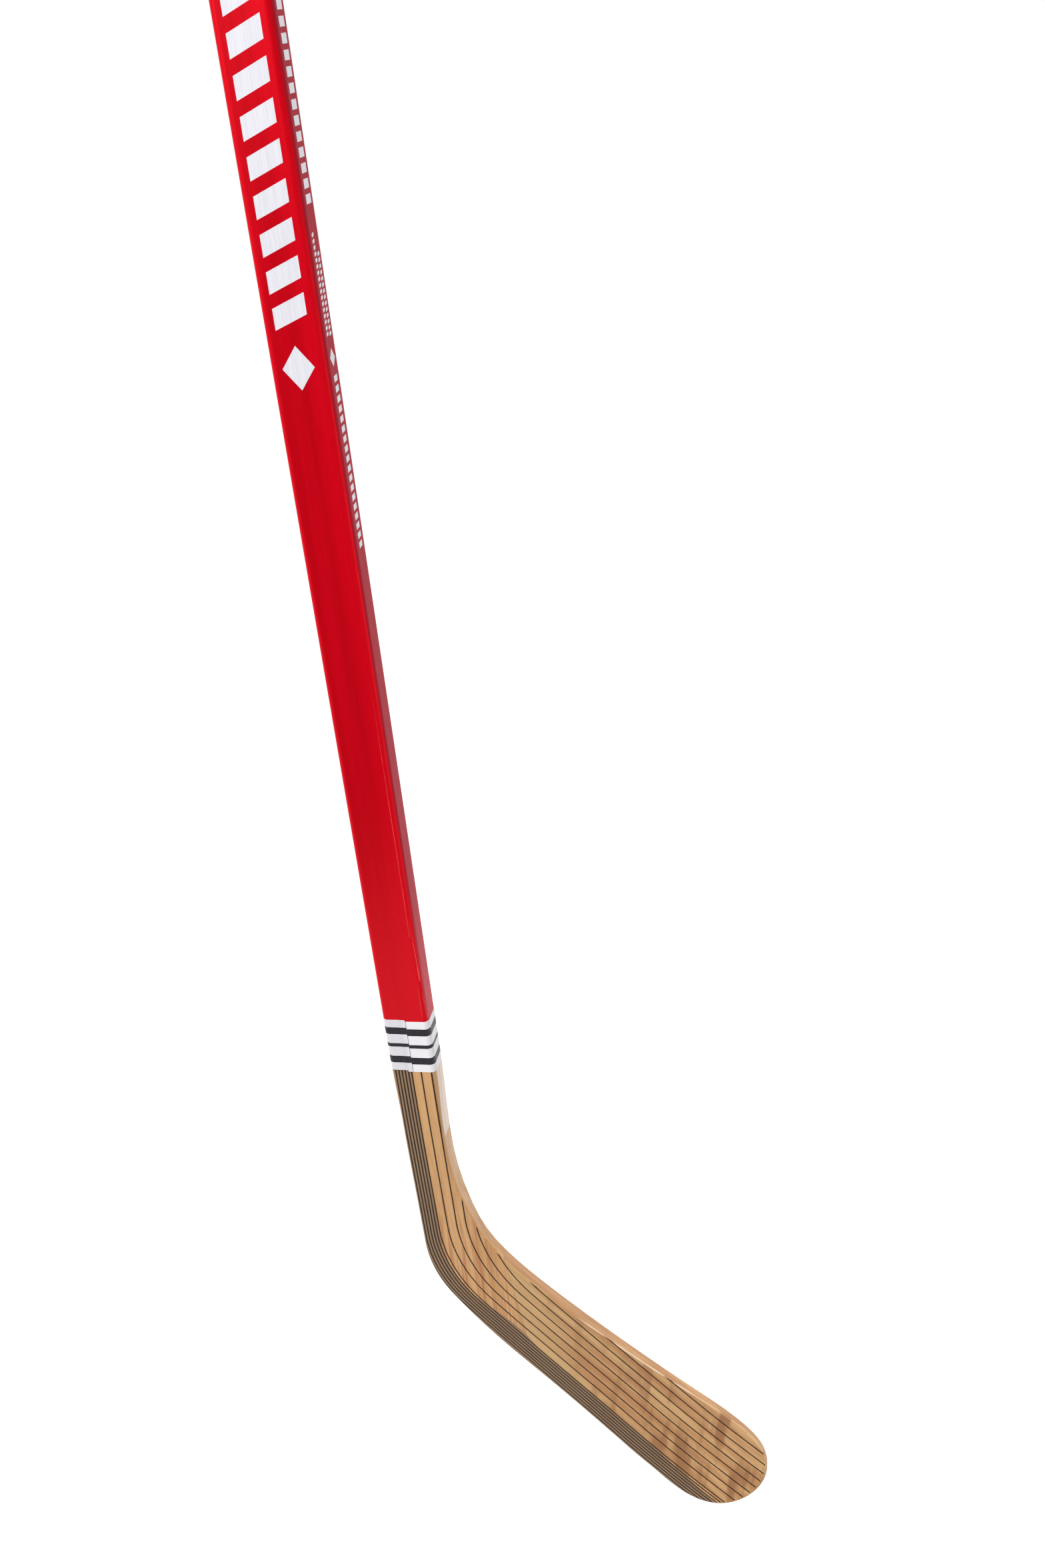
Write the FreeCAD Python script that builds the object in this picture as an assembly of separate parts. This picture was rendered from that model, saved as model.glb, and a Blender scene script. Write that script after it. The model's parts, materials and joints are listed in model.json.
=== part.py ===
import FreeCAD, Part
import math
import os

# One-piece wooden ice hockey stick, built as glued layers. Millimetres and degrees.
# Frame: origin at the heel, where the shaft's centre line meets the line of the sole.
# +Z runs up the shaft, +X points to the toe's side, and -Y is the forehand face.

# Shaft
SHAFT_WIDTH = 28.6          # 1 1/8 inch, over the paint
SHAFT_DEPTH = 16.9          # over the paint
SHAFT_CORNER = 3.4
STICK_TOP = 1448.0          # 57 inches from the heel
PAINT = 0.15
PAINT_END = 217.0           # lower edge of the paint, half way down under the label
VENEER = 1.55               # face veneers of the shaft and heel
STRIP_COUNT = 3             # core strips, side by side across the width

# Hosel, heel and blade
LIE = 137.8                 # angle between shaft and sole
SKIN = 0.6                  # fibreglass sheet on each face
HOSEL_HALF_WIDTH = 13.05
TAPER_TOP = 197.0
TAPER_END = 158.0
HEEL_RADIUS = 85.0
HEEL_EASE_RADIUS = 440.0
HEEL_EASE_TURN = 9.3
SOLE_END = 158.0            # end of the straight sole, along the blade
BLADE_LENGTH = 240.0        # reference length for the taper, curve and twist
BLADE_DEPTH_HEEL = 8.4
BLADE_DEPTH_TOE = 4.8
HOSEL_THIN_TOP = 181.0      # the hosel starts to thin here
HOSEL_THIN_END = 39.0
CURVE_START = 30.0
CURVE_DEPTH = 12.0          # the toe bends towards the forehand side
TWIST = 8.0                 # the face opens this much at the toe
EDGE_RADIUS = 1.6           # rounding of the blade's edges
HOSEL_EDGE_RADIUS = 1.9     # just under the depth of sheet and veneer
BLADE_VENEER = 1.1

# Throat in x and z, then top edge and toe in distances along and above the sole
THROAT = [(HOSEL_HALF_WIDTH, 150.0), (16.2, 108.2), (21.0, 86.6), (28.6, 64.4), (42.3, 42.5)]
TOP_EDGE = [(26.4, 59.2), (91.4, 62.5), (158.9, 70.6), (204.0, 76.0)]
TOE = [(229.5, 72.3), (243.8, 60.6), (250.2, 39.0), (243.3, 17.2), (224.7, 4.9), (193.0, 1.2)]

# Glue joints in the heel
JOINT_TOP = (34.3, 90.0)
JOINT_END = (58.4, -100.0)
SCARF = [(12.75, 148.0), (11.0, 118.0), (11.0, -150.0)]
TONGUE = 1.6
TONGUE_LENGTH = 20.0

# Reinforcing yarns inlaid in the sheets
YARN_WIDTH = 0.88
YARN_DEPTH = 0.2
SOLE_YARNS = 7
SOLE_YARN_START = -13.2
SOLE_YARN_PITCH = 2.03
SOLE_YARN_HEIGHT = 2.6
SOLE_YARN_RISE = 2.13
FACE_YARNS = 8
FACE_YARN_START = -1.4
FACE_YARN_PITCH = 6.4
FACE_YARN_HEIGHT = 15.4
FACE_YARN_RISE = 6.45
YARN_RADIUS = 96.4
YARN_RADIUS_GAIN = 0.333
YARN_EASE_RADIUS = 1850.0
YARN_EASE_TURN = 3.5
YARN_ROCKER_START = 152.0
YARN_ROCKER_RADIUS = 700.0
YARN_MARGIN = 2.2           # the yarns stop this far short of the toe
TOE_START = 190.0

# Label wrapped round the joint of paint and bare wood
LABEL_BOTTOM = 200.5
LABEL_HEIGHT = 37.3
LABEL_THICKNESS = 0.12
LABEL_LEAD = 1.2            # the wrap climbs this much in one turn
LABEL_START = -3.0          # hidden start of the wrap on the forehand face
LABEL_GAP = 0.6
LABEL_CORNER = 1.2
INK = 0.03
STRIPES = [(0.152, 0.135), (0.472, 0.068), (0.72, 0.134)]

# Printed marks
MARK = 0.05
BAR_BOTTOM = 629.0
BAR_WIDTH = 16.4
BAR_HEIGHT = 9.5
BAR_PITCH = 15.6
BAR_SLANT = 6.0
BAR_COUNT = 17
DIAMOND_HEIGHT = 611.8
DIAMOND_HALF = (8.0, 10.0)
TICK_ROWS = [
    # bottom, count, pitch, height, length across the side, centre across the side
    (523.5, 18, 4.7, 2.9, 4.6, 0.2),
    (624.0, 17, 2.65, 1.6, 2.5, -1.9),
    (624.0, 14, 2.65, 1.6, 2.5, 2.1),
    (680.0, 24, 6.2, 3.9, 6.4, 0.0),
]
TICK_SLANT = 0.8
SIDE_DIAMOND_HEIGHT = 614.6
SIDE_DIAMOND_HALF = (3.4, 4.2)

# Modelling reach and closeness
REACH = 60.0
NEAR = 0.01
GRID_X = (-40.0, 240.0, 12)
GRID_Z = (-190.0, PAINT_END, 16)
DEGREE = 3

SOLE_SLOPE = math.radians(LIE - 90.0)
TURN = math.pi / 2 - SOLE_SLOPE


def point(x, z, y=0.0):
    return FreeCAD.Vector(x, y, z)


def on_blade(along, up):
    """Point given by its distance along the sole and its height above the sole."""
    c, s = math.cos(SOLE_SLOPE), math.sin(SOLE_SLOPE)
    return point(along * c + up * s, -along * s + up * c)


def blade_place(x, z):
    c, s = math.cos(SOLE_SLOPE), math.sin(SOLE_SLOPE)
    return x * c - z * s, x * s + z * c


def ease(t):
    t = min(max(t, 0.0), 1.0)
    return t * t * (3.0 - 2.0 * t)


def hosel_share(z):
    return ease((z - HOSEL_THIN_END) / (HOSEL_THIN_TOP - HOSEL_THIN_END))


def thickness(x, z):
    along, _ = blade_place(x, z)
    blade = BLADE_DEPTH_HEEL + (BLADE_DEPTH_TOE - BLADE_DEPTH_HEEL) * ease(along / BLADE_LENGTH)
    return blade + (SHAFT_DEPTH - blade) * hosel_share(z)


def middle(x, z):
    """The blade's middle surface: a curve towards the forehand and a twist that opens the face."""
    along, up = blade_place(x, z)
    share = max(0.0, (along - CURVE_START) / (BLADE_LENGTH - CURVE_START))
    return -CURVE_DEPTH * share ** 2 + up * math.tan(math.radians(TWIST)) * min(share, 1.0)


def edge_radius(z):
    """Rounding at a height where two edges of the outline meet."""
    if z > TAPER_END + NEAR:
        return SHAFT_CORNER
    return HOSEL_EDGE_RADIUS if z > HOSEL_THIN_END else EDGE_RADIUS


def clamped_knots(count):
    spans = count - DEGREE
    knots = [float(k) for k in range(spans + 1)]
    mults = [DEGREE + 1] + [1] * (spans - 1) + [DEGREE + 1]
    return knots, mults


def control_stations(low, high, count):
    knots, mults = clamped_knots(count)
    full = [k for k, m in zip(knots, mults) for _ in range(m)]
    means = [sum(full[i + 1:i + 1 + DEGREE]) / DEGREE for i in range(count)]
    return [low + (high - low) * m / knots[-1] for m in means]


def face_surface(side):
    """Smooth face of the blade and hosel: side is -1 for forehand, 0 for the middle, +1 for back."""
    xs = control_stations(*GRID_X)
    zs = control_stations(*GRID_Z)
    poles = [[point(x, z, middle(x, z) + side * thickness(x, z) / 2) for z in zs] for x in xs]
    knots_x, mults_x = clamped_knots(len(xs))
    knots_z, mults_z = clamped_knots(len(zs))
    surface = Part.BSplineSurface()
    surface.buildFromPolesMultsKnots(
        poles, mults_x, mults_z, knots_x, knots_z, False, False, DEGREE, DEGREE)
    return surface.toShape()


def slab(face, start, depth):
    """Space swept by a face moved along y, from start over a depth of either sign."""
    moved = face.copy()
    moved.translate(point(0, 0, min(start, start + depth)))
    return moved.extrude(point(0, 0, abs(depth)))


def prism(edges, y_low=-REACH, y_high=REACH):
    face = Part.Face(Part.Wire(Part.__sortEdges__(edges)))
    face.translate(point(0, 0, y_low))
    return face.extrude(point(0, 0, y_high - y_low))


def polygon_edges(corners):
    loop = [point(x, z) for x, z in corners]
    return [Part.LineSegment(a, b).toShape() for a, b in zip(loop, loop[1:] + loop[:1])]


def polygon_prism(corners, y_low=-REACH, y_high=REACH):
    return prism(polygon_edges(corners), y_low, y_high)


def spline(points, start_heading, end_heading):
    curve = Part.BSplineCurve()
    curve.interpolate(Points=points, InitialTangent=start_heading, FinalTangent=end_heading)
    return curve


def track(start, legs, offset=0.0):
    """Lines and arcs that turn from straight down towards the toe, moved sideways by offset."""
    heading = 0.0
    here = start + point(offset, 0)
    edges = []
    for radius, amount in legs:
        if radius is None:
            after = here + point(math.sin(heading), -math.cos(heading)) * amount
            edges.append(Part.LineSegment(here, after).toShape())
        else:
            r = radius - offset
            centre = here + point(math.cos(heading), math.sin(heading)) * r
            half = heading + amount / 2
            heading += amount
            mid = centre - point(math.cos(half), math.sin(half)) * r
            after = centre - point(math.cos(heading), math.sin(heading)) * r
            edges.append(Part.Arc(here, mid, after).toShape())
        here = after
    return edges, here


def bend(x_hosel, height, tight, gentle, gentle_turn):
    """Start of the bend from the line x = x_hosel to the line at this height above the sole."""
    legs = [(tight, TURN - gentle_turn), (gentle, gentle_turn)]
    _, end = track(point(x_hosel, 0), legs)
    _, up = blade_place(end.x, end.z)
    lift = (height - up) / math.cos(SOLE_SLOPE)
    return point(x_hosel, lift), legs, end + point(0, lift)


def outline_edges():
    half = SHAFT_WIDTH / 2
    down = point(0, -1)
    sole = on_blade(1, 0)
    heel, legs, heel_end = bend(
        -HOSEL_HALF_WIDTH, 0.0, HEEL_RADIUS, HEEL_EASE_RADIUS, math.radians(HEEL_EASE_TURN))
    edges, _ = track(heel, legs)
    edges.append(Part.LineSegment(heel_end, on_blade(SOLE_END, 0)).toShape())
    for side in (-1, 1):
        taper = spline(
            [point(side * half, TAPER_TOP), point(side * HOSEL_HALF_WIDTH, TAPER_END)], down, down)
        edges.append(taper.toShape())
        edges.append(Part.LineSegment(
            point(side * half, PAINT_END), point(side * half, TAPER_TOP)).toShape())
    edges.append(Part.LineSegment(point(-half, PAINT_END), point(half, PAINT_END)).toShape())
    edges.append(Part.LineSegment(point(-HOSEL_HALF_WIDTH, TAPER_END), heel).toShape())
    edges.append(Part.LineSegment(
        point(HOSEL_HALF_WIDTH, TAPER_END), point(*THROAT[0])).toShape())
    rim_points = [point(*p) for p in THROAT]
    rim_points += [on_blade(*p) for p in TOP_EDGE + TOE]
    rim_points.append(on_blade(SOLE_END, 0))
    rim = spline(rim_points, down, sole * -1)
    cuts = [rim.FirstParameter] + [rim.parameter(on_blade(*p)) for p in (TOP_EDGE[0], TOP_EDGE[-1])]
    cuts.append(rim.LastParameter)
    edges += [rim.toShape(a, b) for a, b in zip(cuts, cuts[1:])]
    return edges


def rounded_section(width, depth, corner, z_low, z_high):
    box = Part.makeBox(width, depth, z_high - z_low, point(-width / 2, z_low, -depth / 2))
    upright = [e for e in box.Edges if e.BoundBox.ZLength > NEAR]
    return box.makeFillet(corner, upright)


def hosel_and_blade(front, back):
    """The lower stick as one rounded body, later parted into its layers."""
    body = slab(front, 0, REACH).common(slab(back, 0, -REACH)).common(prism(outline_edges()))
    body = body.Solids[0]
    rims = []
    for number, edge in enumerate(body.Edges, 1):
        ends = [edge.Vertexes[0].Point, edge.Vertexes[-1].Point]
        through = math.hypot(ends[0].x - ends[1].x, ends[0].z - ends[1].z) < NEAR
        at_top = min(p.z for p in ends) > PAINT_END - NEAR
        if edge.Orientation == "Reversed":
            ends.reverse()
        if not through and not at_top:
            rims.append((number, edge_radius(ends[0].z), edge_radius(ends[1].z)))
    document = FreeCAD.newDocument("stick")
    base = document.addObject("Part::Feature", "body")
    base.Shape = body
    rounded = document.addObject("Part::Fillet", "rounded")
    rounded.Base = base
    rounded.Edges = rims
    document.recompute()
    return rounded.Shape.Solids[0]


def yarn_band(x_hosel, height):
    """Plan of one yarn, long enough to run out of the sheet at both ends."""
    tight = YARN_RADIUS + YARN_RADIUS_GAIN * (x_hosel - SOLE_YARN_START)
    start, legs, end = bend(x_hosel, height, tight, YARN_EASE_RADIUS, math.radians(YARN_EASE_TURN))
    along, _ = blade_place(end.x, end.z)
    drop = PAINT_END - start.z
    legs = [(None, drop)] + legs + [(None, YARN_ROCKER_START - along)]
    legs.append((YARN_ROCKER_RADIUS, REACH * 2 / YARN_ROCKER_RADIUS))
    top = point(x_hosel, PAINT_END)
    inner, inner_end = track(top, legs, YARN_WIDTH / 2)
    outer, outer_end = track(top, legs, -YARN_WIDTH / 2)
    caps = [Part.LineSegment(inner_end, outer_end).toShape(),
            Part.LineSegment(top + point(YARN_WIDTH / 2, 0), top - point(YARN_WIDTH / 2, 0)).toShape()]
    return prism(inner + outer + caps)


def box_zone(x_low, x_high, z_low, z_high):
    return polygon_prism([(x_low, z_low), (x_high, z_low), (x_high, z_high), (x_low, z_high)])


def beyond_toe(plan):
    """Space past the yarns' ends: the toe's surroundings and a narrow margin inside its edge."""
    corners = [on_blade(a, b) for a, b in
               ((TOE_START, -REACH), (TOE_START + 2 * REACH, -REACH),
                (TOE_START + 2 * REACH, 2 * REACH), (TOE_START, 2 * REACH))]
    inside = plan.copy()
    inside.translate(on_blade(-YARN_MARGIN, 0))
    return polygon_prism([(c.x, c.z) for c in corners]).cut(inside)


def yarn_group(layer, limit, start, height, pitch, rise, numbers):
    """Yarns that part one outer layer of a sheet."""
    solids = []
    for n in numbers:
        band = yarn_band(start + pitch * n, height + rise * n).cut(limit)
        solids += layer.common(band).Solids
    return Part.makeCompound(solids)


def inlaid_sheet(body, face, inward, limit):
    """One fibreglass sheet with its two groups of yarns let into the outside."""
    outer = body.common(slab(face, inward * YARN_DEPTH, -inward * REACH))
    sole = yarn_group(outer, limit, SOLE_YARN_START, SOLE_YARN_HEIGHT,
                      SOLE_YARN_PITCH, SOLE_YARN_RISE, range(SOLE_YARNS))
    spread = yarn_group(outer, limit, FACE_YARN_START, FACE_YARN_HEIGHT,
                        FACE_YARN_PITCH, FACE_YARN_RISE, range(1, FACE_YARNS + 1))
    sheet = body.common(slab(face, inward * SKIN, -inward * REACH)).cut([sole, spread])
    return sheet, sole, spread


def upper_shaft():
    """Bare wood of the shaft above the label, parted into strips and veneers."""
    wood = rounded_section(SHAFT_WIDTH - 2 * PAINT, SHAFT_DEPTH - 2 * PAINT,
                           SHAFT_CORNER - PAINT, PAINT_END, STICK_TOP)
    core_half = SHAFT_DEPTH / 2 - SKIN - VENEER
    height = STICK_TOP - PAINT_END
    core = wood.common(Part.makeBox(SHAFT_WIDTH, 2 * core_half, height,
                                    point(-SHAFT_WIDTH / 2, PAINT_END, -core_half)))
    strips = [core.common(zone) for zone in strip_zones(STICK_TOP)]
    faces = [wood.common(Part.makeBox(SHAFT_WIDTH, REACH, height,
                                      point(-SHAFT_WIDTH / 2, PAINT_END, low)))
             for low in (-core_half - REACH, core_half)]
    return strips, faces


def strip_zones(z_high):
    """Widths of the core strips: the outer two reach past the sides."""
    step = (SHAFT_WIDTH - 2 * PAINT) / STRIP_COUNT
    cuts = [-REACH] + [step * (n - STRIP_COUNT / 2) for n in range(1, STRIP_COUNT)] + [REACH]
    return [box_zone(a, b, GRID_Z[0], z_high) for a, b in zip(cuts, cuts[1:])]


def wooden_layers(body, front, back):
    """Strips, veneers, knee block and blade core of the lower stick."""
    far_x, far_z = GRID_X[1] + REACH, GRID_Z[0] - REACH
    blade_zone = polygon_prism([JOINT_TOP, (far_x, JOINT_TOP[1]), (far_x, far_z),
                                (JOINT_END[0], far_z), JOINT_END])
    knee_zone = polygon_prism(SCARF + [(far_x, SCARF[-1][1]), (far_x, SCARF[0][1])])
    tongue_zone = blade_zone.copy()
    tongue_zone.translate(point(-TONGUE_LENGTH, 0))
    tongue_layer = slab(face_surface(0), -TONGUE / 2, TONGUE)
    heel_depth = SKIN + VENEER
    blade_depth = SKIN + BLADE_VENEER
    heel = body.cut(blade_zone)
    blade = body.common(blade_zone)
    heel_core = heel.common(slab(front, heel_depth, REACH)).common(slab(back, -heel_depth, -REACH))
    blade_core = blade.common(slab(front, blade_depth, REACH))
    blade_core = blade_core.common(slab(back, -blade_depth, -REACH))
    tongue = heel_core.common(tongue_zone).common(tongue_layer)
    knee = heel_core.common(knee_zone).cut(tongue)
    strips = [heel_core.cut(knee_zone).common(zone) for zone in strip_zones(PAINT_END)]
    veneers = [heel.common(slab(front, SKIN, VENEER)), heel.common(slab(back, -SKIN, -VENEER))]
    blade_veneers = [blade.common(slab(front, SKIN, BLADE_VENEER)),
                     blade.common(slab(back, -SKIN, -BLADE_VENEER))]
    return strips, veneers, knee, blade_core.fuse(tongue), blade_veneers


def sleeve(inner_gap, wall, z_low, z_high):
    """Thin wall round the shaft, outside its painted size by inner_gap."""
    outer = rounded_section(SHAFT_WIDTH + 2 * (inner_gap + wall), SHAFT_DEPTH + 2 * (inner_gap + wall),
                            SHAFT_CORNER + inner_gap + wall, z_low, z_high)
    inner = rounded_section(SHAFT_WIDTH + 2 * inner_gap, SHAFT_DEPTH + 2 * inner_gap,
                            SHAFT_CORNER + inner_gap, z_low, z_high)
    return outer.cut(inner)


def climbing_slab(z_low, height):
    """Space between two turns of a slow screw, from the wrap's start to just short of it."""
    start = math.degrees(math.atan2(-SHAFT_DEPTH / 2, LABEL_START))
    stop = math.degrees(math.atan2(-SHAFT_DEPTH / 2, LABEL_START - LABEL_GAP))
    share = 1.0 - (start - stop) / 360.0
    rise = LABEL_LEAD * share
    axis = Part.LineSegment(point(0, 0), point(0, rise)).toShape()
    ramp = Part.makeRuledSurface(axis, Part.makeHelix(LABEL_LEAD, rise, REACH).Edges[0])
    ramp.rotate(point(0, 0), point(0, 1), start)
    ramp.translate(point(0, z_low))
    return ramp.extrude(point(0, height))


def wrap_band(z_low, height, gap, wall, corner):
    """One band of the label: a climbing turn and the flap that laps over its start."""
    turn = sleeve(gap, wall, z_low - LABEL_LEAD, z_low + height + 2 * LABEL_LEAD)
    turn = turn.common(climbing_slab(z_low, height))
    flap_start = LABEL_START - 2 * LABEL_GAP
    flap_y = -SHAFT_DEPTH / 2 - LABEL_THICKNESS - gap - wall
    flap = Part.makeBox(-flap_start, wall, height, point(flap_start, z_low + LABEL_LEAD, flap_y))
    if corner:
        free = [e for e in flap.Edges if e.BoundBox.XMin > -NEAR and e.BoundBox.YLength > wall / 2]
        flap = flap.makeFillet(corner, free)
    return turn, flap


def label():
    turn, flap = wrap_band(LABEL_BOTTOM, LABEL_HEIGHT, 0.0, LABEL_THICKNESS, LABEL_CORNER)
    return turn.fuse(flap)


def label_stripes(paper):
    solids = []
    for place, share in STRIPES:
        turn, flap = wrap_band(LABEL_BOTTOM + place * LABEL_HEIGHT, share * LABEL_HEIGHT,
                               LABEL_THICKNESS, INK, 0.0)
        solids += turn.cut([flap, paper]).Solids + flap.Solids
    return Part.makeCompound(solids)


def bar_prisms(y_low):
    """Slanted bars up the face of the shaft, with a diamond below them."""
    half = BAR_WIDTH / 2
    solids = []
    for n in range(BAR_COUNT):
        z = BAR_BOTTOM + n * BAR_PITCH
        corners = [(-half, z), (half, z + BAR_SLANT), (half, z + BAR_SLANT + BAR_HEIGHT),
                   (-half, z + BAR_HEIGHT)]
        solids.append(polygon_prism(corners, y_low, y_low + MARK))
    wide, tall = DIAMOND_HALF
    z = DIAMOND_HEIGHT
    solids.append(polygon_prism([(-wide, z), (0, z - tall), (wide, z), (0, z + tall)],
                                y_low, y_low + MARK))
    return Part.makeCompound(solids)


def side_plate(corners):
    """Thin plate on the toe's side of the shaft, from corners in y and z."""
    x = SHAFT_WIDTH / 2
    loop = [FreeCAD.Vector(x, y, z) for y, z in corners]
    return Part.Face(Part.makePolygon(loop + loop[:1])).extrude(point(MARK, 0))


def side_marks():
    solids = []
    for z_start, count, pitch, height, across, centre in TICK_ROWS:
        low, high = centre - across / 2, centre + across / 2
        for n in range(count):
            z = z_start + n * pitch
            solids.append(side_plate([(low, z), (high, z + TICK_SLANT),
                                      (high, z + TICK_SLANT + height), (low, z + height)]))
    wide, tall = SIDE_DIAMOND_HALF
    z = SIDE_DIAMOND_HEIGHT
    solids.append(side_plate([(-wide, z), (0, z - tall), (wide, z), (0, z + tall)]))
    return Part.makeCompound(solids)


def build():
    front, back = face_surface(-1), face_surface(1)
    body = hosel_and_blade(front, back)
    limit = beyond_toe(prism(outline_edges()))
    strips, veneers, knee, blade_core, blade_veneers = wooden_layers(body, front, back)
    upper_strips, upper_veneers = upper_shaft()
    paper = label()
    nodes = {"knee_block": knee, "blade_core": blade_core,
             "shaft_paint": sleeve(-PAINT, PAINT, PAINT_END, STICK_TOP),
             "label": paper, "label_stripes": label_stripes(paper), "marks_side": side_marks()}
    for name, low, high in zip(("heel_side", "middle", "toe_side"), strips, upper_strips):
        nodes["shaft_strip_" + name] = low.fuse(high).removeSplitter()
    sides = (("forehand", front, 1, -SHAFT_DEPTH / 2 - MARK), ("backhand", back, -1, SHAFT_DEPTH / 2))
    for n, (name, face, inward, mark_y) in enumerate(sides):
        sheet, sole, spread = inlaid_sheet(body, face, inward, limit)
        nodes["glass_sheet_" + name] = sheet
        nodes["sole_yarns_" + name] = sole
        nodes["face_yarns_" + name] = spread
        nodes["shaft_veneer_" + name] = veneers[n].fuse(upper_veneers[n]).removeSplitter()
        nodes["blade_veneer_" + name] = blade_veneers[n]
        nodes["marks_" + name] = bar_prisms(mark_y)
    return nodes


os.makedirs("parts", exist_ok=True)
for node, shape in build().items():
    shape.exportStep("parts/" + node + ".step")
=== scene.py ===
import json
import math
import random

import bmesh
import bpy
from mathutils import Matrix, Vector


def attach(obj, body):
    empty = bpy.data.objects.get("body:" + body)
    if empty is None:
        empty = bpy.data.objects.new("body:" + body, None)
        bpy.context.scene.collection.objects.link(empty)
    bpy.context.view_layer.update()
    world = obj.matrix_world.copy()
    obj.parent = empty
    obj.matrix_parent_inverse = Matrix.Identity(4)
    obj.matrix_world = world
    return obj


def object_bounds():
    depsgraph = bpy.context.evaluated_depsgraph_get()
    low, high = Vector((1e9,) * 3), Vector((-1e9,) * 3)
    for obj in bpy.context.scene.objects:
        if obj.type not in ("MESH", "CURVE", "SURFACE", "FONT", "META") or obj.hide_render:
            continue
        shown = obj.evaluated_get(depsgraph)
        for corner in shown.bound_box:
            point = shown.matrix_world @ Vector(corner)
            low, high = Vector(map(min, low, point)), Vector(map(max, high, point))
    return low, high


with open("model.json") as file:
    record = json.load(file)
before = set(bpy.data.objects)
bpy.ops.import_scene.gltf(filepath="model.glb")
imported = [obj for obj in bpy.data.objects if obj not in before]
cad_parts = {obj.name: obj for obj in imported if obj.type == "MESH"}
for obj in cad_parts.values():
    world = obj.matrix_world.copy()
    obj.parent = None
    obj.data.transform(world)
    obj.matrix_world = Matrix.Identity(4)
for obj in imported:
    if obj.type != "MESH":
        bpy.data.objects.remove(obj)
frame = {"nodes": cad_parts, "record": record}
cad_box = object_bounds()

# The blade's own directions in the frame: along the sole and up from it.
LIE = 137.8
SLOPE = math.radians(LIE - 90.0)
ALONG = (math.cos(SLOPE), 0.0, -math.sin(SLOPE))
UP = (math.sin(SLOPE), 0.0, math.cos(SLOPE))

PER_METRE = 1000.0              # millimetres in a metre

# Places and sizes on the stick in millimetres, from the CAD source.
SHAFT_HALF = (14.3, 8.45)
SHAFT_CORNER = 3.4
HEEL_RADIUS = 85.0
HEEL_CENTRE = (71.95, 54.1)
JOINT = ((34.3, 90.0), (58.4, -100.0))
BUNDLE_WIDTH = (12.1, 15.5)     # reach of the close-set yarns from the hosel's back and the sole
# Frayed edges of the yarns that run beside the hosel's rounded corners.
STITCH_X = 12.0
STITCH_PITCH = 1.3
STITCH_FADE = (148.0, 160.0)    # in z: the stitches show above this
YARN_EDGE = (-12.6, -12.9)      # in x: inner edge of the outermost yarn
# Painted shadow lines across the label's lap, the darkest at the flap's edge: place in x, half width and
# strength.
SEAM_SHADOW_LINES = ((0.1, 0.3, 0.75), (-3.0, 0.35, 0.12), (-4.2, 0.3, 0.16))
SEAM_FADE = (-8.2, -8.0)        # in y: the lines keep to the label's front
LOW_PAINT = (240.0, 400.0)      # in z: the red is lighter near the label

# Drips of paint: name, lowest and highest point, place round the corner at each, half width,
# swelling of the drop at the lower end, seed.
RUNS = (
    ("paint_run_upper", 297.0, 455.0, 0.02, 0.0, 0.2, 0.0, 3),
    ("paint_run_drop", 266.5, 312.0, 0.4, 0.2, 0.3, 0.9, 8),
    ("paint_run_lower", 240.4, 266.0, 0.02, 0.1, 0.24, 0.0, 5),
    ("paint_run_corner", 240.4, 260.0, 0.64, 0.46, 0.24, 0.0, 11),
)
RUN_SIDES = 10
RUN_STEP = 1.5                  # between the rings of corners
RUN_THINNEST = 0.02             # half width at the ends
RUN_FLATNESS = 0.6              # depth of a run over its width
RUN_SINK = 0.3                  # depth of its axis under the coat, as a share of the half width
RUN_DROP = 5.0                  # height of the drop's middle over the lower end
RUN_WAVES = 5                   # sines that make a run wander
RUN_RATES = (0.02, 0.2)         # their least and greatest rate, in radians per millimetre
RUN_SIZES = (0.3, 1.0)          # and size
RUN_SWAY = 0.05                 # sideways, as a share of the way round the corner
RUN_UNEVEN = 0.35               # in width

# Colours are linear. A wood has a dark tone, a light tone and one for its streaks.
HEEL_WOOD = ((0.60, 0.31, 0.122), (0.75, 0.432, 0.19), (0.52, 0.22, 0.086))
FACE_WOOD = ((0.53, 0.25, 0.098), (0.71, 0.435, 0.195), (0.45, 0.20, 0.075))
CORE_WOOD = ((0.68, 0.53, 0.415), (0.81, 0.66, 0.54), (0.56, 0.40, 0.29))
VENEER_WOOD = ((0.60, 0.32, 0.135), (0.74, 0.435, 0.20), (0.50, 0.225, 0.09))
KNEE_WOOD = ((0.50, 0.27, 0.12), (0.64, 0.375, 0.18), (0.40, 0.20, 0.085))
BLADE_WOOD = ((0.47, 0.24, 0.107), (0.62, 0.35, 0.16), (0.38, 0.14, 0.065))
CURL = (0.37, 0.165, 0.062)
NEAR_JOINT = (0.71, 0.46, 0.21)
FLAME = (0.50, 0.19, 0.078)
GLUE_LINE = (0.40, 0.19, 0.08)
BUNDLE = ((0.21, 0.128, 0.07), (0.35, 0.232, 0.14))
# Painted highlight along the rounded top edge of the blade.
EDGE_HIGHLIGHT_TONE = (0.95, 0.74, 0.55)
STITCH = (0.06, 0.035, 0.02)
YARN = ((0.007, 0.004, 0.003), (0.032, 0.018, 0.011))
YARN_WORN = (0.045, 0.025, 0.015)
YARN_BARE = (0.42, 0.28, 0.17)
PAINT = ((0.53, 0.0003, 0.0065), (0.63, 0.0005, 0.009))
PAINT_RIDGE = (0.45, 0.0004, 0.006)
# Painted sheen: the front is lighter towards +x.
PAINT_RIGHT_SHEEN = (0.78, 0.0008, 0.012)
PAINT_LOW = (0.86, 0.016, 0.026)
# Painted highlight along the rounded corners.
PAINT_CORNER_HIGHLIGHT = (0.80, 0.003, 0.012)
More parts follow.
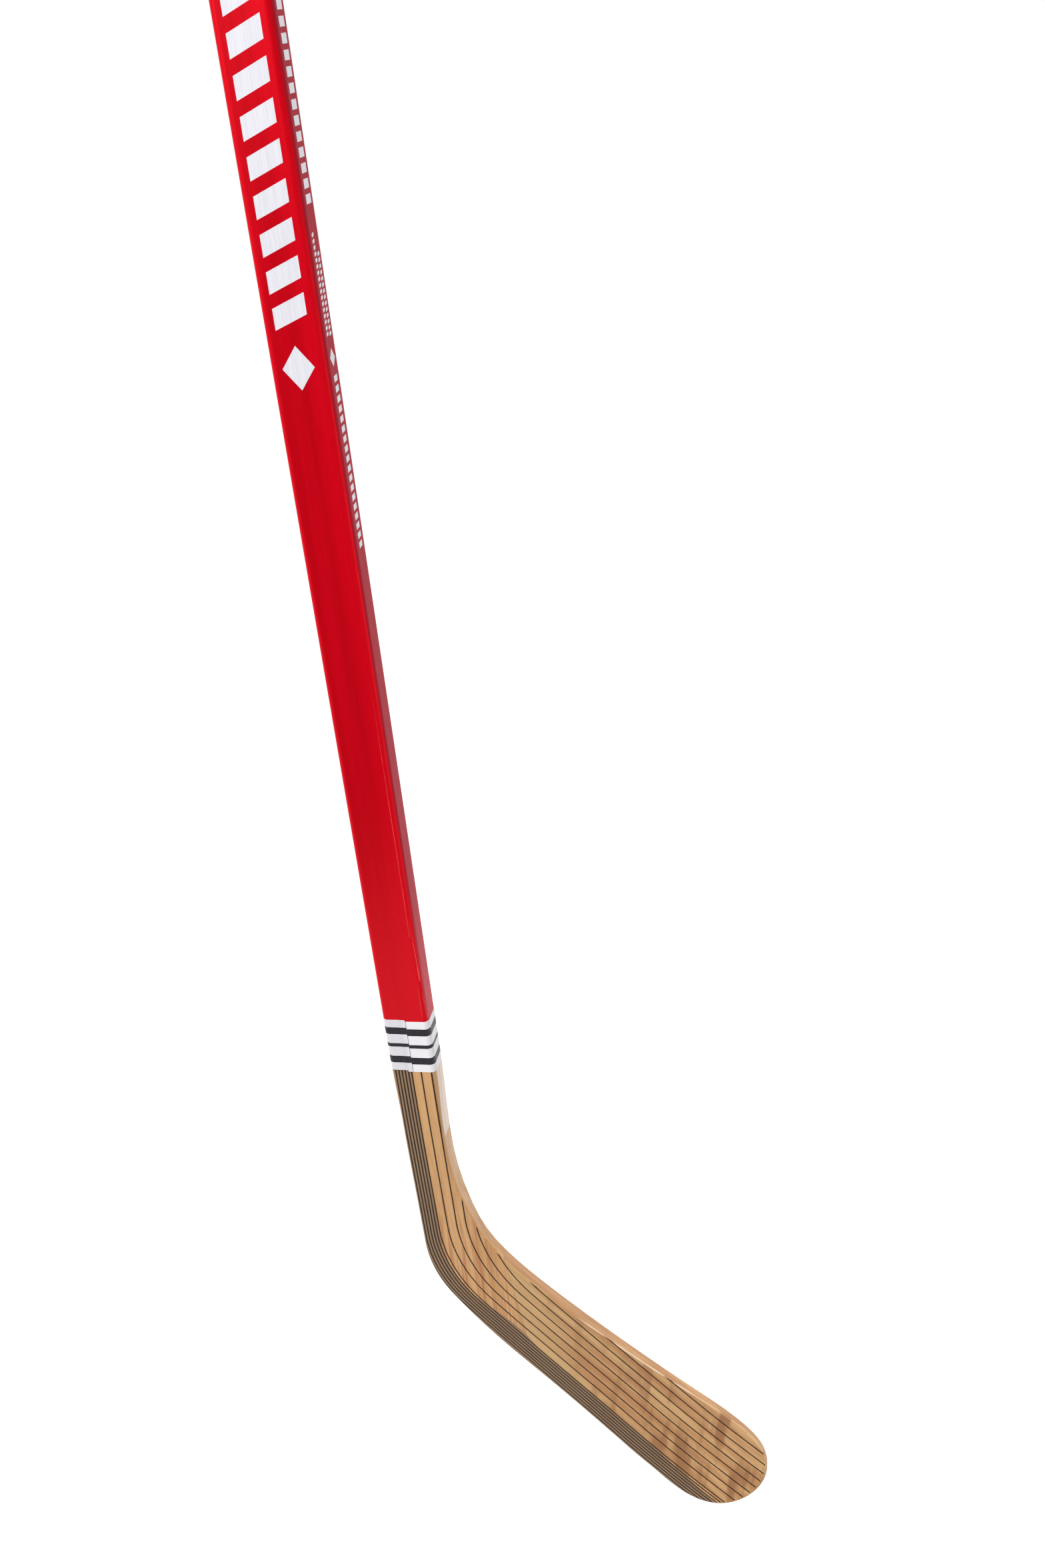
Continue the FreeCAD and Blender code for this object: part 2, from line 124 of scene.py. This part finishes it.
# Narrow sides: a duller coat with a painted grazing reflection of the white studio, lighter near the
# label.
PAINT_SIDE_AND_REFLECTION = ((0.39, 0.012, 0.03), (0.55, 0.07, 0.09))
PAINT_FLECK = (0.13, 0.003, 0.006)
# The drips' red, lighter than the coat's as a painted highlight.
PAINT_RUN_AND_HIGHLIGHT = ((0.74, 0.004, 0.012), (0.95, 0.03, 0.025))
VINYL = ((0.95, 0.925, 0.97), (0.98, 0.96, 0.985))
VINYL_LAP = (0.79, 0.765, 0.82)
# Painted shade on the label's narrow sides.
VINYL_SIDE_SHADE = (0.68, 0.665, 0.70)
VINYL_SPECK = (0.55, 0.55, 0.6)
VINYL_SEAM_SHADOW = (0.25, 0.25, 0.28)
BLACK_INK = ((0.022, 0.019, 0.024), (0.036, 0.032, 0.04))
WHITE_INK = ((0.74, 0.73, 0.80), (0.84, 0.83, 0.88))
INK_WORN = (0.3, 0.02, 0.02)
PORE_DEPTH = 0.45               # a pore's colour as a share of the streak's

# Brightness of the studio behind the stick and in front of it, and where it changes: in the
# direction's y for the surroundings, in y and millimetres for the floor.
FAR_GLOW = 0.75
NEAR_GLOW = 0.03
GLOW_EDGES = (-0.3, 0.4)
FLOOR_EDGES = (-200.0, 300.0)
FLOOR_HALF = 30.0
FLOOR_GAP = 0.35                # the floor lies this far, in metres, below the stick
FLOOR_TONE = (0.3, 0.3, 0.3, 1.0)
WHITE = (1.0, 1.0, 1.0, 1.0)
# Lights: name, place and target in metres, width, height and power in watts.
LIGHTS = (
    ("key", (-1.3, -1.7, 1.9), (0.05, 0.0, 0.35), 1.6, 1.6, 76.0),
    ("edge", (1.2, -0.63, 0.12), (0.05, 0.0, 0.12), 0.1, 1.15, 5.6),
    ("top", (0.3, 0.4, 3.2), (0.1, 0.0, 0.0), 3.0, 3.0, 80.0),
)
# Camera: lens and sensor width in millimetres, directions to its right and its back, and its
# place and clipping range in metres.
LENS = 28.316
SENSOR = 36.0
VIEW_RIGHT = (0.97893, 0.18203, -0.09252)
VIEW_BACK = (0.20415, -0.88089, 0.42702)
VIEW_PLACE = (0.21954, -0.58245, 0.67357)
CLIP = (0.01, 200.0)


class Look:
    """A material's node tree, with short ways to add nodes. Lengths are in millimetres."""

    def __init__(self, name):
        self.material = bpy.data.materials.new(name)
        self.material.use_nodes = True
        self.tree = self.material.node_tree
        self.shader = self.tree.nodes["Principled BSDF"]
        coord = self.add("ShaderNodeTexCoord")
        self.place = self.vector("MULTIPLY", coord.outputs["Object"], (PER_METRE,) * 3)
        split = self.add("ShaderNodeSeparateXYZ", (self.place,))
        self.x, self.y, self.z = split.outputs

    def add(self, kind, inputs=(), **settings):
        node = self.tree.nodes.new(kind)
        for key, value in settings.items():
            setattr(node, key, value)
        for socket, value in zip(node.inputs, inputs):
            self.feed(socket, value)
        return node

    def feed(self, socket, value):
        if isinstance(value, bpy.types.NodeSocket):
            self.tree.links.new(value, socket)
        elif value is not None:
            socket.default_value = value

    def math(self, operation, *values):
        return self.add("ShaderNodeMath", values, operation=operation).outputs[0]

    def vector(self, operation, *values):
        node = self.add("ShaderNodeVectorMath", values, operation=operation)
        return node.outputs["Value" if operation in ("DOT_PRODUCT", "LENGTH") else "Vector"]

    def combine(self, x, y, z):
        return self.add("ShaderNodeCombineXYZ", (x, y, z)).outputs[0]

    def ramp(self, value, low, high, to_low=0.0, to_high=1.0):
        """Smooth step from to_low at low to to_high at high."""
        node = self.add("ShaderNodeMapRange", (value, low, high, to_low, to_high))
        node.interpolation_type = "SMOOTHSTEP"
        return node.outputs[0]

    def mix(self, share, first, second, blend="MIX"):
        node = self.add("ShaderNodeMix", data_type="RGBA", blend_type=blend)
        self.feed(node.inputs["Factor"], share)
        colours = [s for s in node.inputs if s.type == "RGBA"]
        for socket, colour in zip(colours, (first, second)):
            self.feed(socket, (*colour, 1.0) if isinstance(colour, tuple) else colour)
        return [s for s in node.outputs if s.type == "RGBA"][0]

    def noise(self, place, stretch, detail=3.0, roughness=0.5):
        """Noise from 0 to 1 with its features stretched: cycles per millimetre along x, y and z."""
        scaled = self.vector("MULTIPLY", place, stretch)
        node = self.add("ShaderNodeTexNoise", noise_dimensions="3D")
        self.feed(node.inputs["Vector"], scaled)
        self.feed(node.inputs["Scale"], 1.0)
        self.feed(node.inputs["Detail"], detail)
        self.feed(node.inputs["Roughness"], roughness)
        return node.outputs[0]

    def bump(self, height, depth_mm):
        """Bump of a real depth in millimetres."""
        node = self.add("ShaderNodeBump")
        node.inputs["Strength"].default_value = 1.0
        node.inputs["Distance"].default_value = depth_mm / PER_METRE
        self.feed(node.inputs["Height"], height)
        self.feed(self.shader.inputs["Normal"], node.outputs[0])

    def set(self, **values):
        for key, value in values.items():
            self.feed(self.shader.inputs[key.replace("_", " ")], value)

    def blade_place(self):
        """Coordinates with z along the sole and x up from it."""
        along = self.vector("DOT_PRODUCT", self.place, ALONG)
        up = self.vector("DOT_PRODUCT", self.place, UP)
        return self.combine(up, self.y, along), along, up


def wood(look, place, dark, light, streak, pores=1.0):
    """Colour and height of straight-grained wood whose fibres run along z of place."""
    broad = look.noise(place, (0.16, 0.16, 0.006), 4.0, 0.55)
    fine = look.noise(place, (1.3, 1.3, 0.025), 4.0, 0.6)
    hair = look.noise(place, (4.5, 4.5, 0.09), 2.0, 0.5)
    colour = look.mix(look.ramp(broad, 0.34, 0.68), dark, light)
    colour = look.mix(look.ramp(fine, 0.5, 0.74, 0.0, 0.55), colour, streak)
    colour = look.mix(look.ramp(hair, 0.6, 0.78, 0.0, 0.3 * pores), colour,
                      tuple(PORE_DEPTH * c for c in streak))
    height = look.math("ADD", fine, look.math("MULTIPLY", hair, 0.6))
    return colour, height


def joint_side(look):
    """0 on the shaft's side of the glue joint in the heel and 1 on the blade's side."""
    (x0, z0), (x1, z1) = JOINT
    length = math.hypot(x1 - x0, z1 - z0)
    normal = ((z0 - z1) / length, 0.0, (x1 - x0) / length)
    offset = x0 * normal[0] + z0 * normal[2]
    distance = look.math("SUBTRACT", look.vector("DOT_PRODUCT", look.place, normal), offset)
    return look.ramp(distance, -0.25, 0.25), distance


def from_sole(look, along, up):
    """Distance from the line that runs down the back of the hosel, round the heel and along the sole."""
    across = look.math("SUBTRACT", look.x, HEEL_CENTRE[0])
    below = look.math("MINIMUM", look.math("SUBTRACT", look.z, HEEL_CENTRE[1]), 0.0)
    reach = look.vector("LENGTH", look.combine(across, 0.0, below))
    round_heel = look.math("SUBTRACT", HEEL_RADIUS, reach)
    share = look.ramp(along, -5.0, 75.0)
    rest = look.math("SUBTRACT", up, round_heel)
    return look.math("ADD", round_heel, look.math("MULTIPLY", share, rest))


def stitches(look):
    """Short dark and bare lengths in turn, on the part of the hosel just below the label."""
    wave = look.math("SINE", look.math("MULTIPLY", look.z, 2.0 * math.pi / STITCH_PITCH))
    return look.math("MULTIPLY", look.ramp(wave, -0.1, 0.4), look.ramp(look.z, *STITCH_FADE))


def bare_wood(name, tones, along_blade=False, roughness=0.5):
    look = Look(name)
    place = look.blade_place()[0] if along_blade else look.place
    colour, height = wood(look, place, *tones)
    look.feed(look.shader.inputs["Base Color"], colour)
    look.feed(look.shader.inputs["Roughness"],
              look.ramp(height, 0.4, 1.2, roughness - 0.08, roughness + 0.1))
    look.set(Coat_Weight=0.25, Coat_Roughness=0.3)
    look.bump(height, 0.05)
    return look.material


def wood_under_sheet(look, blade, along, up):
    """Colour and height of the wood under the sheet, which changes at the glue joint in the heel."""
    heel_colour, heel_height = wood(look, look.place, *HEEL_WOOD)
    blade_colour, blade_height = wood(look, blade, *FACE_WOOD, pores=0.6)
    curl_place = look.combine(
        look.math("ADD", along, look.math("MULTIPLY", up, 0.8)), look.y,
        look.math("SUBTRACT", up, look.math("MULTIPLY", along, 0.25)))
    curl = look.noise(curl_place, (0.075, 0.02, 0.022), 2.0, 0.5)
    toe_share = look.ramp(along, 90.0, 190.0, 0.35, 0.95)
    blade_colour = look.mix(look.math("MULTIPLY", look.ramp(curl, 0.47, 0.68), toe_share),
                            blade_colour, CURL)
    side, distance = joint_side(look)
    near_joint = look.ramp(distance, 2.0, 45.0, 0.65, 0.0)
    blade_colour = look.mix(near_joint, blade_colour, NEAR_JOINT)
    flame = look.noise(look.place, (0.75, 0.75, 0.014), 2.0, 0.5)
    flame_share = look.math("MULTIPLY", look.ramp(flame, 0.48, 0.66, 0.0, 0.8),
                            look.ramp(look.z, 40.0, 130.0, 1.0, 0.25))
    heel_colour = look.mix(flame_share, heel_colour, FLAME)
    colour = look.mix(side, heel_colour, blade_colour)
    line = look.ramp(look.math("ABSOLUTE", distance), 0.1, 0.5, 0.35, 0.0)
    height = look.math("ADD", heel_height, blade_height)
    return look.mix(line, colour, GLUE_LINE), height


def yarn_bed(look, colour, blade, along, up):
    """The grey ground between the close-set yarns, over colour."""
    width = look.ramp(along, -40.0, 60.0, *BUNDLE_WIDTH)
    past = look.math("SUBTRACT", from_sole(look, along, up), width)
    bundle = look.ramp(past, -0.3, 0.3, 1.0, 0.0)
    fibre = look.noise(blade, (2.2, 2.2, 0.05), 3.0, 0.6)
    grey = look.mix(fibre, *BUNDLE)
    return look.mix(look.math("MULTIPLY", bundle, 0.88), colour, grey)


def painted_edge_highlight(look, colour, along):
    """Painted highlight: a paler line on the rounding of the blade's upper edge, over colour."""
    normal = look.add("ShaderNodeNewGeometry").outputs["Normal"]
    tilt = look.vector("DOT_PRODUCT", normal, UP)
    rounding = look.math("MULTIPLY", look.ramp(tilt, 0.2, 0.4), look.ramp(tilt, 0.5, 0.7, 1.0, 0.0))
    highlight_span = look.math("MULTIPLY", look.ramp(along, 55.0, 75.0),
                       look.ramp(along, 140.0, 200.0, 1.0, 0.25))
    share = look.math("MULTIPLY", rounding, look.math("MULTIPLY", highlight_span, 0.75))
    return look.mix(share, colour, EDGE_HIGHLIGHT_TONE)


def sheet_material():
    """Clear resin sheet over wood: the wood's grain shows through, under a slightly wavy gloss."""
    look = Look("resin_sheet")
    blade, along, up = look.blade_place()
    colour, grain = wood_under_sheet(look, blade, along, up)
    colour = yarn_bed(look, colour, blade, along, up)
    # Painted highlight along the blade's top edge.
    colour = painted_edge_highlight(look, colour, along)
    edge = look.math("ABSOLUTE", look.math("SUBTRACT", look.x, STITCH_X))
    stitch = look.math("MULTIPLY", look.ramp(edge, 0.15, 0.4, 1.0, 0.0), stitches(look))
    colour = look.mix(stitch, colour, STITCH)
    look.feed(look.shader.inputs["Base Color"], colour)
    ripple = look.noise(look.place, (0.045, 0.045, 0.045), 2.0, 0.5)
    height = look.math("ADD", look.math("MULTIPLY", ripple, 2.0),
                       look.math("MULTIPLY", grain, 0.12))
    scuff = look.noise(look.place, (0.5, 0.5, 0.12), 3.0, 0.6)
    look.feed(look.shader.inputs["Roughness"], look.ramp(scuff, 0.3, 0.75, 0.3, 0.45))
    look.set(Coat_Weight=0.3, Coat_Roughness=0.12, Specular_IOR_Level=0.35)
    look.bump(height, 0.12)
    return look.material


def yarn_material():
    look = Look("dark_yarn")
    twist = look.noise(look.place, (1.6, 1.6, 1.1), 3.0, 0.6)
    broad = look.noise(look.place, (0.05, 0.05, 0.05), 2.0, 0.5)
    colour = look.mix(look.ramp(twist, 0.3, 0.75), *YARN)
    colour = look.mix(look.ramp(broad, 0.45, 0.8, 0.0, 0.5), colour, YARN_WORN)
    outermost = look.ramp(look.x, *YARN_EDGE)
    colour = look.mix(look.math("MULTIPLY", outermost, stitches(look)), colour, YARN_BARE)
    look.feed(look.shader.inputs["Base Color"], colour)
    look.feed(look.shader.inputs["Roughness"], look.ramp(twist, 0.2, 0.8, 0.35, 0.6))
    look.set(Specular_IOR_Level=0.3)
    look.bump(twist, 0.08)
    return look.material


def paint_material():
    """Red lacquer over wood: the grain shows as fine lengthwise ridges."""
    look = Look("red_paint")
    ridge = look.noise(look.place, (1.1, 1.1, 0.02), 4.0, 0.6)
    hair = look.noise(look.place, (3.6, 3.6, 0.11), 3.0, 0.6)
    broad = look.noise(look.place, (0.12, 0.12, 0.004), 2.0, 0.5)
    colour = look.mix(look.ramp(broad, 0.3, 0.7), *PAINT)
    colour = look.mix(look.ramp(ridge, 0.52, 0.8, 0.0, 0.5), colour, PAINT_RIDGE)
    # Painted sheen: lighter towards +x across the front.
    colour = look.mix(look.ramp(look.x, 0.0, 10.0, 0.0, 0.5), colour, PAINT_RIGHT_SHEEN)
    colour = look.mix(look.ramp(look.z, *LOW_PAINT, 0.6, 0.0), colour, PAINT_LOW)
    reach = look.math("ABSOLUTE", look.x)
    # Painted highlight along the rounded corners between the front and the narrow sides.
    corner = look.math("MULTIPLY", look.ramp(reach, 10.6, 12.2, 0.0, 0.6),
                       look.ramp(reach, 13.4, 13.9, 1.0, 0.0))
    colour = look.mix(corner, colour, PAINT_CORNER_HIGHLIGHT)
    # Narrow sides: duller coat plus a painted grazing reflection of the white studio.
    side = look.ramp(reach, 13.3, 14.0)
    side_and_reflection = look.mix(look.ramp(look.z, 235.0, 345.0, 1.0, 0.0), *PAINT_SIDE_AND_REFLECTION)
    colour = look.mix(look.math("MULTIPLY", side, 0.92), colour, side_and_reflection)
    pore = look.ramp(hair, 0.6, 0.76, 0.0, 0.75)
    colour = look.mix(look.math("MULTIPLY", pore, side), colour, PAINT_FLECK)
    look.feed(look.shader.inputs["Base Color"], colour)
    look.feed(look.shader.inputs["Roughness"], look.ramp(hair, 0.3, 0.75, 0.34, 0.5))
    look.set(Metallic=0.2, Coat_Weight=0.02, Coat_Roughness=0.2, Specular_IOR_Level=0.05)
    height = look.math("ADD", ridge, look.math("MULTIPLY", hair, 0.7))
    look.bump(height, 0.06)
    rough_normal = look.shader.inputs["Normal"].links[0].from_socket
    look.feed(look.shader.inputs["Coat Normal"], rough_normal)
    return look.material


def vinyl_material():
    look = Look("white_vinyl")
    cloud = look.noise(look.place, (0.06, 0.06, 0.06), 3.0, 0.5)
    speck = look.noise(look.place, (1.4, 1.4, 1.4), 2.0, 0.5)
    colour = look.mix(look.ramp(cloud, 0.3, 0.75), *VINYL)
    colour = look.mix(look.ramp(look.x, -2.5, 1.5, 0.85, 0.0), colour, VINYL_LAP)
    # Painted shade: the label is greyer on the narrow sides.
    side = look.ramp(look.math("ABSOLUTE", look.x), 13.4, 14.3, 0.0, 0.85)
    colour = look.mix(side, colour, VINYL_SIDE_SHADE)
    colour = look.mix(look.ramp(speck, 0.7, 0.82, 0.0, 0.3), colour, VINYL_SPECK)
    front = look.ramp(look.y, *SEAM_FADE, 1.0, 0.0)
    # Painted shadow lines at the lap's edges, on the label's front.
    for place, half, share in SEAM_SHADOW_LINES:
        beside = look.math("ABSOLUTE", look.math("SUBTRACT", look.x, place))
        line = look.ramp(beside, 0.4 * half, half, share, 0.0)
        colour = look.mix(look.math("MULTIPLY", line, front), colour, VINYL_SEAM_SHADOW)
    look.feed(look.shader.inputs["Base Color"], colour)
    look.feed(look.shader.inputs["Roughness"], look.ramp(cloud, 0.3, 0.7, 0.28, 0.4))
    look.set(Coat_Weight=0.15, Coat_Roughness=0.12)
    grain = look.noise(look.place, (0.9, 0.9, 0.03), 3.0, 0.5)
    look.bump(look.math("ADD", grain, look.math("MULTIPLY", cloud, 1.5)), 0.05)
    return look.material


def ink_material(name, tones, worn=0.0):
    look = Look(name)
    grain = look.noise(look.place, (1.5, 1.5, 0.04), 4.0, 0.6)
    speck = look.noise(look.place, (1.8, 1.8, 0.9), 3.0, 0.6)
    colour = look.mix(look.ramp(grain, 0.3, 0.72), *tones)
    colour = look.mix(look.ramp(speck, 0.7, 0.85, 0.0, worn), colour, INK_WORN)
    look.feed(look.shader.inputs["Base Color"], colour)
    look.feed(look.shader.inputs["Roughness"], look.ramp(speck, 0.3, 0.7, 0.3, 0.46))
    look.set(Specular_IOR_Level=0.35)
    look.bump(grain, 0.03)
    return look.material


def run_material():
    """Thick drips of the same paint: smoother and glossier than the coat, with a lighter tone that
    paints in the highlight along them.
    """
    look = Look("paint_run")
    pool = look.noise(look.place, (0.5, 0.5, 0.08), 2.0, 0.5)
    colour = look.mix(look.ramp(pool, 0.35, 0.65), *PAINT_RUN_AND_HIGHLIGHT)
    look.feed(look.shader.inputs["Base Color"], colour)
    look.feed(look.shader.inputs["Roughness"], look.ramp(pool, 0.3, 0.7, 0.18, 0.34))
    look.set(Coat_Weight=0.4, Coat_Roughness=0.1)
    look.bump(pool, 0.05)
    return look.material


def run_rings(low, high, turn_low, turn_high, width, swelling, seed):
    """Rings of corners round a run, from its lower end to its upper one."""
    wander = random.Random(seed)
    waves = [(wander.uniform(*RUN_RATES), wander.uniform(0.0, 2.0 * math.pi), wander.uniform(*RUN_SIZES))
             for _ in range(RUN_WAVES)]
    count = int((high - low) / RUN_STEP)
    rings = []
    for n in range(count + 1):
        z = low + (high - low) * n / count
        sway = sum(size * math.sin(rate * z + phase) for rate, phase, size in waves) / RUN_WAVES
        share = n / count
        taper = min(1.0, 2.0 * (1.0 - share), (z - low) / RUN_STEP)
        drop = 1.0 + swelling * math.exp(-((z - low - RUN_DROP) / RUN_DROP) ** 2)
        radius = RUN_THINNEST + width * taper * drop * (1.0 + RUN_UNEVEN * sway)
        angle = (turn_low + (turn_high - turn_low) * share + RUN_SWAY * sway) * math.pi / 2
        out = (math.sin(angle), -math.cos(angle))
        reach = SHAFT_CORNER - RUN_SINK * radius
        centre = (SHAFT_HALF[0] - SHAFT_CORNER + reach * out[0],
                  SHAFT_CORNER - SHAFT_HALF[1] + reach * out[1])
        ring = []
        for k in range(RUN_SIDES):
            turn = 2.0 * math.pi * k / RUN_SIDES
            flat, proud = radius * math.cos(turn), RUN_FLATNESS * radius * math.sin(turn)
            ring.append((centre[0] - flat * out[1] + proud * out[0],
                         centre[1] + flat * out[0] + proud * out[1], z))
        rings.append(ring)
    return rings


def paint_run(material, name, *course):
    """Bead of paint down the shaft's forehand corner on the toe's side, thinning to its upper end.

    The course is the rest of the run's row in RUNS. Its places round the corner go from 0 (face)
    to 1 (side).
    """
    mesh = bmesh.new()
    rings = [[mesh.verts.new([c / PER_METRE for c in corner]) for corner in ring]
             for ring in run_rings(*course)]
    for lower, upper in zip(rings, rings[1:]):
        for k in range(RUN_SIDES):
            after = (k + 1) % RUN_SIDES
            mesh.faces.new((lower[k], lower[after], upper[after], upper[k]))
    mesh.faces.new(rings[0][::-1])
    mesh.faces.new(rings[-1])
    for face in mesh.faces:
        face.smooth = True
    bmesh.ops.recalc_face_normals(mesh, faces=mesh.faces)
    data = bpy.data.meshes.new(name)
    mesh.to_mesh(data)
    piece = bpy.data.objects.new(name, data)
    bpy.context.scene.collection.objects.link(piece)
    data.materials.append(material)
    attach(piece, "root")


def floor():
    mesh = bpy.data.meshes.new("floor")
    depth = cad_box[0][2] - FLOOR_GAP
    corners = [(x * FLOOR_HALF, y * FLOOR_HALF, depth) for x, y in ((-1, -1), (1, -1), (1, 1), (-1, 1))]
    mesh.from_pydata(corners, [], [(0, 1, 2, 3)])
    plane = bpy.data.objects.new("floor", mesh)
    bpy.context.scene.collection.objects.link(plane)
    look = Look("floor")
    look.set(Base_Color=FLOOR_TONE, Roughness=0.9, Specular_IOR_Level=0.1, Emission_Color=WHITE)
    seen = look.add("ShaderNodeLightPath").outputs["Is Camera Ray"]
    far_side = look.ramp(look.y, *FLOOR_EDGES, 0.0, FAR_GLOW)
    look.set(Emission_Strength=look.math("MAXIMUM", seen, far_side))
    mesh.materials.append(look.material)


def area_light(name, place, target, size, size_y, power):
    data = bpy.data.lights.new(name, "AREA")
    data.shape = "RECTANGLE"
    data.size = size
    data.size_y = size_y
    data.energy = power
    lamp = bpy.data.objects.new(name, data)
    lamp.location = place
    lamp.rotation_euler = (Vector(target) - Vector(place)).to_track_quat("-Z", "Y").to_euler()
    bpy.context.scene.collection.objects.link(lamp)


def studio():
    world = bpy.data.worlds.new("studio")
    bpy.context.scene.world = world
    world.use_nodes = True
    tree = world.node_tree
    background = tree.nodes["Background"]
    background.inputs["Color"].default_value = WHITE
    # The far side of the studio is white and the near side is dim; the camera sees white all round.
    way = tree.nodes.new("ShaderNodeTexCoord")
    split = tree.nodes.new("ShaderNodeSeparateXYZ")
    tree.links.new(way.outputs["Generated"], split.inputs[0])
    depth = tree.nodes.new("ShaderNodeMapRange")
    depth.interpolation_type = "SMOOTHSTEP"
    tree.links.new(split.outputs["Y"], depth.inputs["Value"])
    limits = zip(("From Min", "From Max", "To Min", "To Max"), (*GLOW_EDGES, NEAR_GLOW, FAR_GLOW))
    for name, value in limits:
        depth.inputs[name].default_value = value
    ray = tree.nodes.new("ShaderNodeLightPath")
    level = tree.nodes.new("ShaderNodeMath")
    level.operation = "MAXIMUM"
    tree.links.new(ray.outputs["Is Camera Ray"], level.inputs[0])
    tree.links.new(depth.outputs[0], level.inputs[1])
    tree.links.new(level.outputs[0], background.inputs["Strength"])
    for light in LIGHTS:
        area_light(*light)


def camera():
    data = bpy.data.cameras.new("camera")
    data.lens = LENS
    data.sensor_width = SENSOR
    data.clip_start, data.clip_end = CLIP
    eye = bpy.data.objects.new("camera", data)
    right = Vector(VIEW_RIGHT).normalized()
    back = Vector(VIEW_BACK).normalized()
    up = back.cross(right).normalized()
    right = up.cross(back)
    turn = Matrix((right, up, back)).transposed().to_4x4()
    eye.matrix_world = Matrix.Translation(VIEW_PLACE) @ turn
    bpy.context.scene.collection.objects.link(eye)
    bpy.context.scene.camera = eye


MATERIALS = {
    "pale_core_wood": bare_wood("pale_core_wood", CORE_WOOD),
    "veneer_wood": bare_wood("veneer_wood", VENEER_WOOD),
    "knee_wood": bare_wood("knee_wood", KNEE_WOOD),
    "blade_wood": bare_wood("blade_wood", BLADE_WOOD, along_blade=True, roughness=0.42),
    "resin_sheet": sheet_material(),
    "dark_yarn": yarn_material(),
    "red_paint": paint_material(),
    "white_vinyl": vinyl_material(),
    "black_ink": ink_material("black_ink", BLACK_INK),
    "white_print": ink_material("white_print", WHITE_INK, worn=0.5),
}

for part in frame["record"]["subparts"]:
    node = frame["nodes"][part["node"]]
    node.data.materials.clear()
    node.data.materials.append(MATERIALS[part["material_slot"]])

run_paint = run_material()
for run in RUNS:
    paint_run(run_paint, *run)

floor()
studio()
camera()
bpy.context.scene.view_settings.view_transform = "Standard"
